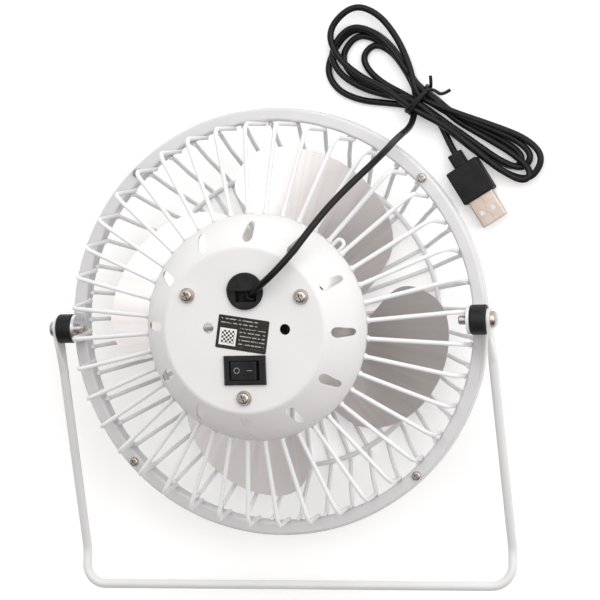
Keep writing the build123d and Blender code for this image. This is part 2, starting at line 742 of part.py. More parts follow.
def blade():
    """One blade: its plan outline cut out of the twisted sheet."""
    grid = [
        [polar(radius, angle, blade_height(radius, angle)) for angle in range(-95, 31, 5)]
        for radius in range(12, 81, 2)
    ]
    surface = Face.make_surface_from_array_of_points(grid, tol=0.002)
    sheet = thicken(surface, amount=BLADE_SHEET / 2, both=True)
    edge = Spline(*[polar(radius, angle) for radius, angle in BLADE_OUTER_EDGE])
    corners = [polar(radius, angle) for radius, angle in BLADE_ROOT]
    root = Polyline(edge @ 1, *corners, edge @ 0)
    outline = extrude(make_face(edge + root), amount=60)
    return sheet & outline


def fan_blades():
    plate = disc(BLADE_PLATE_RADIUS, BLADE_PLATE_Z - BLADE_SHEET, BLADE_PLATE_Z + BLADE_SHEET)
    for arm in around(blade(), BLADES):
        plate += arm
    plate -= disc(HUB_PILOT_RADIUS, 0, 60)
    hole = Pos(RIVET_CIRCLE, 0, BLADE_PLATE_Z) * Cylinder(RIVET_RADIUS, 4)
    for cutter in around(hole, HUB_RIVETS, RIVET_ANGLE):
        plate -= cutter
    return plate


def blade_hub():
    plate_top = BLADE_PLATE_Z + BLADE_SHEET
    flange_top = plate_top + HUB_FLANGE_THICKNESS
    hub = disc(HUB_FLANGE_RADIUS, plate_top, flange_top) + disc(HUB_BOSS_RADIUS, plate_top, HUB_TOP_Z)
    hub = fillet(hub.edges().group_by(Axis.Z)[-1], 0.8)
    hub += disc(HUB_PILOT_RADIUS, BLADE_PLATE_Z - BLADE_SHEET, plate_top)
    hub -= disc(SHAFT_RADIUS, 0, HUB_TOP_Z)
    hole = Pos(RIVET_CIRCLE, 0, plate_top) * Cylinder(RIVET_RADIUS, 6)
    for cutter in around(hole, HUB_RIVETS, RIVET_ANGLE):
        hub -= cutter
    return hub


def hub_rivets():
    bottom = BLADE_PLATE_Z - BLADE_SHEET
    head_radius, head_height = RIVET_HEAD
    head = Pos(RIVET_CIRCLE, 0, bottom - head_height) * extrude(Circle(head_radius), amount=head_height)
    head = fillet(head.edges().group_by(Axis.Z)[0], 0.5)
    length = 2 * BLADE_SHEET + HUB_FLANGE_THICKNESS
    shank = Pos(RIVET_CIRCLE, 0, bottom) * extrude(Circle(RIVET_RADIUS), amount=length)
    return around(head + shank, HUB_RIVETS, RIVET_ANGLE)


def blade_cap():
    bottom = BLADE_PLATE_Z - BLADE_SHEET
    cap = disc(BLADE_CAP_RADIUS, bottom - BLADE_CAP_HEIGHT, bottom)
    cap = fillet(cap.edges().group_by(Axis.Z)[0], 2.0)
    return cap - disc(SHAFT_RADIUS, SHAFT_ENDS_Z[0], bottom)


# Stand and pivots


def across(piece, x):
    """Turns a piece made along Z to point along +X and moves it out to x on the pivot axis."""
    return Pos(x, 0, PIVOT_Z) * Rot(0, 90, 0) * piece


def pivot_brackets():
    inner, outer = BRACKET_X
    thickness = outer - inner
    top = PIVOT_Z + BRACKET_HALF_WIDTH
    plate = Pos(inner, 0, BAND_BACK_Z) * Box(
        thickness, 2 * BRACKET_HALF_WIDTH, PIVOT_Z - BAND_BACK_Z, align=(Align.MIN, Align.CENTER, Align.MIN)
    )
    plate += across(extrude(Circle(top - PIVOT_Z), amount=thickness), inner)
    foot = Pos(inner, 0, BAND_BACK_Z) * Box(
        BRACKET_FOOT, 2 * BRACKET_HALF_WIDTH, thickness, align=(Align.MIN, Align.CENTER, Align.MIN)
    )
    bracket = plate + foot - across(Cylinder(PIVOT_SCREW_RADIUS + 0.01, 8), inner)
    return mirrored_pair(bracket)


def pivot_spacers():
    length = SPACER_END_X - BRACKET_X[1]
    barrel = extrude(Circle(SPACER_RADIUS) - Circle(PIVOT_SCREW_RADIUS + 0.05), amount=length)
    rims = barrel.edges().filter_by(GeomType.CIRCLE).filter_by(lambda edge: edge.radius > SPACER_RADIUS - 0.1)
    barrel = fillet(rims, 0.9)
    return mirrored_pair(across(barrel, BRACKET_X[1]))


def pivot_screws():
    head_x = STAND_EYE_X + STAND_EYE_THICKNESS / 2 + 0.05
    screw = pan_screw(PIVOT_HEAD_RADIUS, PIVOT_HEAD_HEIGHT, PIVOT_SCREW_RADIUS, head_x - PIVOT_SCREW_TIP_X)
    tip = screw.edges().filter_by(GeomType.CIRCLE).group_by(Axis.Z)[0]
    return mirrored_pair(across(chamfer(tip, 0.5), head_x))


def stand_end():
    """Flattened eye of one stand end and the blend down to the round rod."""
    eye = extrude(Circle(STAND_EYE_RADIUS), amount=STAND_EYE_THICKNESS / 2, both=True)
    flat_height = 2 * STAND_EYE_RADIUS
    flat = Pos(0, -STAND_FLAT_LENGTH / 2) * Box(flat_height, STAND_FLAT_LENGTH, STAND_EYE_THICKNESS)
    wide = Plane(origin=(0, -STAND_FLAT_LENGTH, 0), z_dir=(0, -1, 0), x_dir=(1, 0, 0))
    narrow = Plane(origin=(0, -STAND_BLEND_END, 0), z_dir=(0, -1, 0), x_dir=(1, 0, 0))
    blend = loft([
        wide * RectangleRounded(flat_height, STAND_EYE_THICKNESS, radius=STAND_EYE_THICKNESS * 0.45),
        narrow * RectangleRounded(STAND_BLEND_TIP, STAND_BLEND_TIP, radius=STAND_BLEND_TIP * 0.475),
    ])
    end = eye + flat + blend - Cylinder(PIVOT_HOLE_RADIUS, 10)
    return Pos(STAND_EYE_X, 0, PIVOT_Z) * Rot(STAND_DROOP, 0, 0) * Rot(0, 90, 0) * end


def stand():
    start = Vector(STAND_EYE_X, 0, PIVOT_Z) + Vector(
        0, -STAND_BLEND_END * cos(radians(STAND_DROOP)), -STAND_BLEND_END * sin(radians(STAND_DROOP))
    )
    right_side = [tuple(start), STAND_KINK, STAND_BAR]
    left_side = [(-x, y, z) for x, y, z in reversed(right_side)]
    bends = [STAND_KINK_BEND, STAND_CORNER_BEND, STAND_CORNER_BEND, STAND_KINK_BEND]
    bar = rod(FilletPolyline(*right_side, *left_side, radius=bends), STAND_ROD)
    for end in mirrored_pair(stand_end()):
        bar += end
    return bar


# Leads, cord, hank and plug


def red_leads():
    return [soft_tube("red_leads", route, LEAD) for route in (RED_SUPPLY_ROUTE, RED_MOTOR_ROUTE)]


def black_lead():
    return soft_tube("black_lead", BLACK_MOTOR_ROUTE, LEAD)


def cord_hank():
    outline = FilletPolyline(*HANK_OUTLINE, radius=HANK_ROUNDING, close=True)
    hank = extrude(make_face(outline), amount=HANK_HEIGHT)
    return chamfer(hank.edges().group_by(Axis.Z)[-1], 1.2)


def cord_tube():
    """Cord from the grommet to the hank, cut off where it enters the hank."""
    return soft_tube("cord_tube", CORD_ROUTE, CORD) - cord_hank()


def cord_plug_lead():
    return soft_tube("cord_plug_lead", PLUG_LEAD_ROUTE, CORD) - cord_hank()


def cord_tie():
    """Twist tie arched over the pinched middle of the hank, with its two free ends."""
    half = TIE_SPAN / 2
    top = HANK_HEIGHT + TIE_WIRE / 2 + 0.1
    arch = FilletPolyline((-half, 0, 0.4), (-half, 0, top), (half, 0, top), (half, 0, 0.4), radius=1.6)
    loop = Pos(*TIE_CENTRE) * Rot(0, 0, TIE_TURN) * rod(arch, TIE_WIRE)
    ends = [
        rod(Line((66.4, 97.6, 6.4), tip), TIE_WIRE * 0.8)
        for tip in ((66.0, 103.4, 7.4), (73.6, 96.4, 5.4))
    ]
    return loop + ends[0] + ends[1]


def on_plug(piece):
    """Moves a piece made along +X, with z as its height above the plug's middle, onto the plug."""
    return Pos(*PLUG_CENTRE, OVERMOLD_HEIGHT / 2) * Rot(0, 0, PLUG_TURN) * piece


def usb_overmold():
    body = Box(OVERMOLD_LENGTH, OVERMOLD_WIDTH, OVERMOLD_HEIGHT)
    body = fillet(body.edges(), 0.9)
    neck_end = -OVERMOLD_LENGTH / 2 - NECK_LENGTH
    neck = Pos(neck_end, 0) * Box(
        NECK_LENGTH + 0.2, NECK_WIDTH, NECK_WIDTH, align=(Align.MIN, Align.CENTER, Align.CENTER)
    )
    neck = fillet(neck.edges().filter_by(Axis.X), 1.6)
    return on_plug(body + neck)


def usb_shell():
    """Folded steel shell with a pair of latch holes above and below."""
    outer = RectangleRounded(SHELL_WIDTH, SHELL_HEIGHT, radius=0.7)
    inner = RectangleRounded(SHELL_WIDTH - 2 * SHELL_WALL, SHELL_HEIGHT - 2 * SHELL_WALL, radius=0.4)
    mouth = Plane(origin=(OVERMOLD_LENGTH / 2, 0, 0), z_dir=(1, 0, 0), x_dir=(0, 1, 0))
    shell = extrude(mouth * (outer - inner), amount=SHELL_LENGTH)
    for y in (-LATCH_HOLE_Y, LATCH_HOLE_Y):
        hole = Box(LATCH_HOLE, LATCH_HOLE, SHELL_HEIGHT + 1)
        shell -= Pos(OVERMOLD_LENGTH / 2 + LATCH_HOLE_REACH, y) * hole
    return on_plug(shell)


def usb_tongue():
    """Plastic tongue against the shell's upper wall, so that it shows through the latch holes."""
    width = SHELL_WIDTH - 2 * SHELL_WALL - 0.8
    top = SHELL_HEIGHT / 2 - SHELL_WALL
    tongue = Box(SHELL_LENGTH - 1, width, TONGUE_HEIGHT, align=(Align.MIN, Align.CENTER, Align.MAX))
    return on_plug(Pos(OVERMOLD_LENGTH / 2, 0, top) * tongue)


def usb_contacts():
    underside = SHELL_HEIGHT / 2 - SHELL_WALL - TONGUE_HEIGHT
    strip = Box(*CONTACT_SIZE, align=(Align.MIN, Align.CENTER, Align.MAX))
    return [on_plug(Pos(OVERMOLD_LENGTH / 2 + 2, y, underside) * strip) for y in CONTACT_Y]


NODES = {
    "rear_band": rear_band,
    "front_band": front_band,
    "rear_cage_wires": rear_cage_wires,
    "front_cage_wires": front_cage_wires,
    "front_stiffening_ring": front_stiffening_ring,
    "front_centre_ring": front_centre_ring,
    "front_centre_cap": front_centre_cap,
    "rear_housing": rear_housing,
    "housing_washers": housing_washers,
    "housing_screws": housing_screws,
    "band_screws": band_screws,
    "wire_hook": wire_hook,
    "cable_grommet": cable_grommet,
    "rating_label": rating_label,
    "switch_body": switch_body,
    "switch_rocker": switch_rocker,
    "switch_terminals": switch_terminals,
    "motor_holder": motor_holder,
    "motor_can": motor_can,
    "motor_end_cap": motor_end_cap,
    "motor_bushes": motor_bushes,
    "motor_magnets": motor_magnets,
    "motor_brushes": motor_brushes,
    "motor_terminals": motor_terminals,
    "motor_shaft": motor_shaft,
    "armature_core": armature_core,
    "armature_windings": armature_windings,
    "commutator": commutator,
    "fan_blades": fan_blades,
    "blade_hub": blade_hub,
    "hub_rivets": hub_rivets,
    "blade_cap": blade_cap,
    "pivot_brackets": pivot_brackets,
    "pivot_spacers": pivot_spacers,
    "pivot_screws": pivot_screws,
    "stand": stand,
    "red_leads": red_leads,
    "black_lead": black_lead,
    "cord_tube": cord_tube,
    "cord_hank": cord_hank,
    "cord_plug_lead": cord_plug_lead,
    "cord_tie": cord_tie,
    "usb_overmold": usb_overmold,
    "usb_shell": usb_shell,
    "usb_tongue": usb_tongue,
    "usb_contacts": usb_contacts,
}

os.makedirs("parts", exist_ok=True)
for node, make in NODES.items():
    made = make()
    pieces = made if isinstance(made, list) else [made]
    solids = [solid for piece in pieces for solid in piece.solids()]
    shape = solids[0] if len(solids) == 1 else Compound(children=solids)
    export_step(shape, f"parts/{node}.step")
    print(node, len(solids))
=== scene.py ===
from math import cos, pi, radians, sin

import bpy
from mathutils import Matrix, Vector


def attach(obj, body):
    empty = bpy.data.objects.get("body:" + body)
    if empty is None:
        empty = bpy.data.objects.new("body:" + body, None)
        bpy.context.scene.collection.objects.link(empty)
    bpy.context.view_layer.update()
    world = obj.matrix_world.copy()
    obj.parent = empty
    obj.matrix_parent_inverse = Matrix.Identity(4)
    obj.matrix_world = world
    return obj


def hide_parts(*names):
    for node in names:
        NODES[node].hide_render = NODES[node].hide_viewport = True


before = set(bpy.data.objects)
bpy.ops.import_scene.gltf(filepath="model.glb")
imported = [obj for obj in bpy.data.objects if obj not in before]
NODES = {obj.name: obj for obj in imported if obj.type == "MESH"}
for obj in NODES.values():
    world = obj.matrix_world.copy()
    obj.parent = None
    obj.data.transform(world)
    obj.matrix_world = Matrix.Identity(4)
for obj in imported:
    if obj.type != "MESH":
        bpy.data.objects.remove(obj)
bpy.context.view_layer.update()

MM = 0.001


# Camera: over the fan's back, leaning off its axis towards a heading, and rolled about its own line

CAMERA_HEADING = radians(10.735)
CAMERA_LEAN = radians(15.350)
CAMERA_ROLL = radians(-12.527)
CAMERA_TARGET = Vector((0, 0, 34.0)) * MM
CAMERA_SIDESTEP = Vector((10.590, 9.662, 0)) * MM
CAMERA_DISTANCE = 1022.2 * MM
CAMERA_LENS = 143.0
CAMERA_SENSOR_WIDTH = 36.0
CAMERA_CLIP = (0.01, 20.0)


def make_camera():
    """The scene's camera. The sidestep is along its own right and up."""
    data = bpy.data.cameras.new("camera")
    data.lens = CAMERA_LENS
    data.sensor_width = CAMERA_SENSOR_WIDTH
    data.clip_start, data.clip_end = CAMERA_CLIP
    camera = bpy.data.objects.new("camera", data)
    heading = Matrix.Rotation(CAMERA_HEADING, 3, "Z")
    lean = Matrix.Rotation(CAMERA_LEAN, 3, "Y")
    roll = Matrix.Rotation(CAMERA_ROLL, 3, "Z")
    turn = heading @ lean @ roll
    place = CAMERA_TARGET + turn @ (Vector((0, 0, CAMERA_DISTANCE)) + CAMERA_SIDESTEP)
    camera.matrix_world = Matrix.Translation(place) @ turn.to_4x4()
    bpy.context.scene.collection.objects.link(camera)
    bpy.context.scene.camera = camera


# Cord: from the grommet over the cage to the hank, round the hank's turns, and on to the plug

CORD = 2.9
CORD_ROUTE = (
    (3.6, 14.2, 81.6),
    (6.8, 16.8, 86.2),
    (13.5, 21.6, 88.6),
    (22.3, 30.4, 87.0),
    (29.6, 40.7, 81.6),
    (37.0, 50.4, 75.2),
    (44.6, 58.5, 69.6),
    (51.5, 65.2, 65.2),
    (56.8, 71.4, 58.0),
    (58.3, 75.6, 47.0),
    (58.4, 78.6, 32.0),
    (58.1, 80.6, 20.0),
    (57.9, 83.6, 10.0),
    (58.0, 89.0, 4.4),
    (58.4, 95.5, 2.4),
)
PLUG_LEAD_ROUTE = (
    (67.6, 84.4, 2.4),
    (70.4, 79.0, 2.6),
    (72.9, 73.4, 3.6),
    (75.0, 69.6, 4.0),
)
TIE_CENTRE = Vector((60.6, 92.9, 0))
TIE_TURN = radians(-35)
# A lobe's outline in shares of its reach and half width, out along one side and back along the other
LEFT_SHAPE = (
    (0.28, 0.60),
    (0.55, 1.00),
    (0.82, 1.08),
    (1.02, 0.62),
    (1.02, -0.62),
    (0.82, -1.08),
    (0.55, -1.00),
    (0.28, -0.60),
)
RIGHT_SHAPE = (
    (0.28, 0.55),
    (0.56, 0.80),
    (0.84, 1.04),
    (1.02, 0.66),
    (1.02, -0.66),
    (0.84, -1.04),
    (0.56, -0.74),
    (0.28, -0.36),
)
# Left lobes: direction in degrees, reach, half width, height on the way out and on the way back
LEFT_LOBES = (
    (135, 32, 6.0, 1.6, 1.6),
    (141, 40, 9.0, 1.6, 1.6),
    (141.5, 44.5, 11.0, 4.4, 4.3),
    (132, 50, 12.0, 4.6, 7.0),
    (147, 44, 14.0, 1.6, 1.6),
)
# Right lobes: the same values
RIGHT_LOBES = (
    (-34.0, 50, 4.4, 1.6, 1.6),
    (-31.5, 53, 5.6, 1.7, 4.4),
    (-32, 58, 8.6, 4.3, 4.4),
    (-37, 56.5, 4.2, 7.2, 2.0),
)
# Where each strand goes through the tie: distance to the upper right of its middle, and height
PASSES_OUT = ((-1.4, 4.5), (-4.2, 4.5), (-1.4, 7.2), (-4.2, 7.2), (-4.6, 1.6))
PASSES_BACK = ((1.5, 1.6), (4.4, 1.6), (1.5, 4.4), (4.4, 4.4))
PASS_HALF_LENGTH = 3.6
TUBE_SIDE_STEPS = 6
TUBE_SPAN_STEPS = 12


def at_tie(along, across, height):
    """Point near the tie, along the hank towards the plug and across it to the upper right."""
    x = along * cos(TIE_TURN) - across * sin(TIE_TURN)
    y = along * sin(TIE_TURN) + across * cos(TIE_TURN)
    return TIE_CENTRE + Vector((x, y, height))


def lobe_points(shape, direction, reach, half_width, height_out, height_back):
    """Control points once round a lobe, anticlockwise seen from above."""
    angle = radians(direction)
    points = []
    for index, (along, across) in enumerate(shape):
        x = along * reach * cos(angle) + across * half_width * sin(angle)
        y = along * reach * sin(angle) - across * half_width * cos(angle)
        share = index / (len(shape) - 1)
        height = height_out * (1 - share) + height_back * share
        points.append(TIE_CENTRE + Vector((x, y, height)))
    return points


def pass_points(across, height, way):
    """Two control points that lead a strand straight through the tie."""
    return [at_tie(way * end * PASS_HALF_LENGTH, across, height) for end in (-1, 1)]


def hank_points():
    """Control points of the whole hank: left lobe, tie, right lobe, tie, and again."""
    points = []
    for turn, left in enumerate(LEFT_LOBES):
        points += lobe_points(LEFT_SHAPE, *left)
        points += pass_points(*PASSES_OUT[turn], 1)
        if turn < len(RIGHT_LOBES):
            points += lobe_points(RIGHT_SHAPE, *RIGHT_LOBES[turn])
            points += pass_points(*PASSES_BACK[turn], -1)
    return points


def nurbs_curve(name, points, diameter):
    """Round tube along one open spline, from control points in millimetres.

    The bevel is 1 m and each point's radius brings it down to the tube's, so that the bounds stay true.
    """
    data = bpy.data.curves.new(name, "CURVE")
    data.dimensions = "3D"
    data.bevel_depth = 1.0
    data.bevel_resolution = TUBE_SIDE_STEPS
    data.resolution_u = TUBE_SPAN_STEPS
    data.use_fill_caps = True
    spline = data.splines.new("NURBS")
    spline.points.add(len(points) - 1)
    for knot, point in zip(spline.points, points):
        knot.co = (point[0] * MM, point[1] * MM, point[2] * MM, 1.0)
        knot.radius = diameter / 2 * MM
    spline.order_u = 3
    spline.use_endpoint_u = True
    curve = bpy.data.objects.new(name, data)
    bpy.context.scene.collection.objects.link(curve)
    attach(curve, "head")
    return curve


def make_cord():
    """The whole cord as one curve, which stands for its three plain CAD solids."""
    points = [*CORD_ROUTE, *hank_points(), *PLUG_LEAD_ROUTE]
    cord = nurbs_curve("usb_cord", points, CORD)
    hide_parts("cord_tube", "cord_hank", "cord_plug_lead")
    return cord


# Twist tie: two turns round the pinched hank, and its two free ends

TIE_WIRE = 1.5
TIE_TURNS = 2
TIE_PITCH = 1.7
TIE_HALF_SPAN = 6.9
TIE_TOP = 9.6
TIE_SHOULDER = 9.0
TIE_UNDERSIDE = 0.9
TIE_FIRST_END = (Vector((66.0, 103.4, 7.4)), Vector((66.2, 99.8, 7.0)))
TIE_SECOND_END = (Vector((70.4, 94.6, 5.6)), Vector((74.2, 97.0, 5.4)))


def tie_points():
    """Control points from one free end, twice round the hank, to the other free end."""
    points = [*TIE_FIRST_END]
    for turn in range(TIE_TURNS):
        lean = TIE_PITCH * turn
        points += [
            at_tie(0.8 - lean, TIE_HALF_SPAN + 0.3, 5.2),
            at_tie(0.2 - lean, TIE_HALF_SPAN, TIE_UNDERSIDE),
            at_tie(-0.1 - lean, 0, 0.8),
            at_tie(-0.5 - lean, -TIE_HALF_SPAN, TIE_UNDERSIDE),
            at_tie(-0.8 - lean, -TIE_HALF_SPAN - 0.4, 5.4),
            at_tie(-0.6 - lean, -TIE_HALF_SPAN + 0.6, TIE_SHOULDER),
            at_tie(0.2 - lean * 0.4, 0, TIE_TOP),
            at_tie(1.0 - lean * 0.2, TIE_HALF_SPAN - 0.6, TIE_SHOULDER),
        ]
    points += [at_tie(3.4, 7.4, 6.6), *TIE_SECOND_END]
    return points


def make_tie():
    """The tie as one curve, which stands for its plain CAD solid."""
    tie = nurbs_curve("twist_tie", tie_points(), TIE_WIRE)
    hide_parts("cord_tie")
    return tie


# Materials. A speckle's scale is in features to a metre, and a bump's depth in millimetres.

NOISE_LOW = 0.3
NOISE_HIGH = 0.7
BLADE_TONES = ((0.68, 0.635, 0.62), (0.84, 0.80, 0.79), (0.79, 0.755, 0.745))
ZINC_TONES = ((0.80, 0.81, 0.83), (0.62, 0.64, 0.67))
PAINT_TONES = ((0.74, 0.74, 0.742), (0.70, 0.70, 0.70))
JACKET_TONES = ((0.004, 0.004, 0.0045), (0.010, 0.010, 0.011))


def new_surface(name):
    """Material with its node tree, its shader and the object coordinates, in metres."""
    material = bpy.data.materials.new(name)
    material.use_nodes = True
    tree = material.node_tree
    shader = tree.nodes["Principled BSDF"]
    place = tree.nodes.new("ShaderNodeTexCoord").outputs["Object"]
    return material, tree, shader, place


def stretched(tree, place, stretch):
    """Coordinates multiplied by a vector, so that a pattern is drawn out along an axis."""
    scale = tree.nodes.new("ShaderNodeVectorMath")
    scale.operation = "MULTIPLY"
    tree.links.new(place, scale.inputs[0])
    scale.inputs[1].default_value = stretch
    return scale.outputs[0]


def speckle(tree, place, per_metre, low=0.0, high=1.0, detail=3.0):
    """Noise with about so many features in a metre, spread from low to high."""
    noise = tree.nodes.new("ShaderNodeTexNoise")
    noise.inputs["Scale"].default_value = per_metre
    noise.inputs["Detail"].default_value = detail
    tree.links.new(place, noise.inputs["Vector"])
    spread = tree.nodes.new("ShaderNodeMapRange")
    spread.inputs["From Min"].default_value = NOISE_LOW
    spread.inputs["From Max"].default_value = NOISE_HIGH
    spread.inputs["To Min"].default_value = low
    spread.inputs["To Max"].default_value = high
    tree.links.new(noise.outputs["Fac"], spread.inputs["Value"])
    return spread.outputs["Result"]


def blended(tree, share, first, second):
    """Colour between two others. Each is a colour or another node's output."""
    mix = tree.nodes.new("ShaderNodeMix")
    mix.data_type = "RGBA"
    tree.links.new(share, mix.inputs[0])
    for socket, colour in ((mix.inputs[6], first), (mix.inputs[7], second)):
        if isinstance(colour, tuple):
            socket.default_value = (*colour, 1.0)
        else:
            tree.links.new(colour, socket)
    return mix.outputs[2]


def add_bump(tree, shader, height, distance, strength=1.0):
    """Relief from a height of 0 to 1, that many millimetres deep."""
    bump = tree.nodes.new("ShaderNodeBump")
    bump.inputs["Strength"].default_value = strength
    bump.inputs["Distance"].default_value = distance * MM
    tree.links.new(height, bump.inputs["Height"])
    tree.links.new(bump.outputs["Normal"], shader.inputs["Normal"])


def coated(name, colour, worn_colour, roughness):
    """Sprayed powder coat: orange peel, faint cloudiness and a few duller patches."""
    material, tree, shader, place = new_surface(name)
    cloud = speckle(tree, place, 45, detail=4.0)
    tree.links.new(blended(tree, cloud, colour, worn_colour), shader.inputs["Base Color"])
    tree.links.new(
        speckle(tree, place, 130, roughness - 0.06, roughness + 0.08), shader.inputs["Roughness"]
    )
    shader.inputs["Specular IOR Level"].default_value = 0.4
    shader.inputs["Coat Weight"].default_value = 0.06
    shader.inputs["Coat Roughness"].default_value = 0.25
    add_bump(tree, shader, speckle(tree, place, 1400, detail=2.0), 0.012)
    return material


def moulded(name, colour, dusty_colour, roughness, grain):
    """Moulded plastic with a fine spark-eroded grain, and a little dust."""
    material, tree, shader, place = new_surface(name)
    dust = speckle(tree, place, 210, detail=6.0)
    tree.links.new(blended(tree, dust, colour, dusty_colour), shader.inputs["Base Color"])
    tree.links.new(
        speckle(tree, place, 320, roughness - 0.08, roughness + 0.10), shader.inputs["Roughness"]
    )
    shader.inputs["Specular IOR Level"].default_value = 0.25
    add_bump(tree, shader, speckle(tree, place, 3200, detail=2.0), grain)
    return material


def bare_metal(name, colour, second_colour, roughness, per_metre=600):
    """Plated or bare metal, with faint stains and fine tool marks."""
    material, tree, shader, place = new_surface(name)
    stain = speckle(tree, place, per_metre / 4, detail=4.0)
    tree.links.new(blended(tree, stain, colour, second_colour), shader.inputs["Base Color"])
    shader.inputs["Metallic"].default_value = 1.0
    tree.links.new(
        speckle(tree, place, per_metre, roughness - 0.06, roughness + 0.10), shader.inputs["Roughness"]
    )
    add_bump(tree, shader, speckle(tree, place, per_metre * 5, detail=2.0), 0.004)
    return material


def brushed_blade(name):
    """Aluminium sheet with soft streaks that run out from the hub."""
    material, tree, shader, place = new_surface(name)
    flat = stretched(tree, place, (1, 1, 0))
    spoke = tree.nodes.new("ShaderNodeVectorMath")
    spoke.operation = "NORMALIZE"
    tree.links.new(flat, spoke.inputs[0])
    streak = speckle(tree, spoke.outputs[0], 26, detail=5.0)
    cloud = speckle(tree, place, 60, detail=3.0)
    dark_streak, light_streak, cloud_tone = BLADE_TONES
    streaked = blended(tree, streak, dark_streak, light_streak)
    tree.links.new(blended(tree, cloud, streaked, cloud_tone), shader.inputs["Base Color"])
    shader.inputs["Metallic"].default_value = 0.85
    tree.links.new(
        speckle(tree, spoke.outputs[0], 40, 0.30, 0.42), shader.inputs["Roughness"]
    )
    add_bump(tree, shader, speckle(tree, place, 1800, detail=2.0), 0.006)
    return material


def cord_jacket(name):
    """Satin PVC jacket with slight waviness from the extruder."""
    material, tree, shader, place = new_surface(name)
    scuff = speckle(tree, place, 260, detail=5.0)
    tree.links.new(blended(tree, scuff, *JACKET_TONES), shader.inputs["Base Color"])
    shader.inputs["Specular IOR Level"].default_value = 0.22
    tree.links.new(speckle(tree, place, 150, 0.26, 0.38), shader.inputs["Roughness"])
    add_bump(tree, shader, speckle(tree, place, 900, detail=2.0), 0.02)
    return material


def bracket_finish(name):
    """Bare zinc on the bracket at -X and white paint on the one at +X."""
    material, tree, shader, place = new_surface(name)
    split = tree.nodes.new("ShaderNodeSeparateXYZ")
    tree.links.new(place, split.inputs["Vector"])
    zinc_share = tree.nodes.new("ShaderNodeMath")
    zinc_share.operation = "LESS_THAN"
    tree.links.new(split.outputs["X"], zinc_share.inputs[0])
    zinc_share.inputs[1].default_value = 0.0
    stain = speckle(tree, place, 90, detail=4.0)
    zinc = blended(tree, stain, *ZINC_TONES)
    paint = blended(tree, stain, *PAINT_TONES)
    tree.links.new(blended(tree, zinc_share.outputs[0], paint, zinc), shader.inputs["Base Color"])
    tree.links.new(zinc_share.outputs[0], shader.inputs["Metallic"])
    tree.links.new(speckle(tree, place, 300, 0.20, 0.36), shader.inputs["Roughness"])
    add_bump(tree, shader, speckle(tree, place, 1500, detail=2.0), 0.006)
    return material


# Rating label, in millimetres from its own middle and square to its edges

LABEL_CENTRE = (-0.7, -1.6)
LABEL_TURN = radians(-9.5)
SQUARE_X, SQUARE_Y = (-9.6, -2.4), (-5.4, 1.6)
WEAVE_X, WEAVE_Y = (-8.8, -3.2), (-4.6, 0.8)
WEAVE_SCALE = 1.15
TALL_BLOCK_X, TALL_BLOCK_Y = (-1.2, 9.8), (-5.6, 2.4)
WIDE_BLOCK_X, WIDE_BLOCK_Y = (-9.6, 6.0), (3.0, 5.8)
ROWS_PER_MM = 0.62
ROW_INK = (0.30, 0.55)
DASH_STRETCH = (0.9, 0.62, 0)
DASHES_PER_MM = 1.3
DASH_INK = (0.35, 2.0)
DASH_STRENGTH = 0.55
LABEL_DARK_TONES = ((0.020, 0.017, 0.015), (0.034, 0.029, 0.026))
LABEL_PRINT_TONE = (0.78, 0.77, 0.75)


def value_of(tree, operation, first, second=None):
    """One step of arithmetic on numbers or outputs."""
    step = tree.nodes.new("ShaderNodeMath")
    step.operation = operation
    for socket, value in zip(step.inputs, (first, second)):
        if isinstance(value, (int, float)):
            socket.default_value = value
        elif value is not None:
            tree.links.new(value, socket)
    return step.outputs[0]


def inside(tree, value, low, high):
    """1 where a value lies between two limits."""
    above = value_of(tree, "GREATER_THAN", value, low)
    below = value_of(tree, "LESS_THAN", value, high)
    return value_of(tree, "MULTIPLY", above, below)


def panel(tree, x, y, x_range, y_range):
    """1 inside a rectangle of the label."""
    return value_of(
        tree, "MULTIPLY", inside(tree, x, *x_range), inside(tree, y, *y_range)
    )


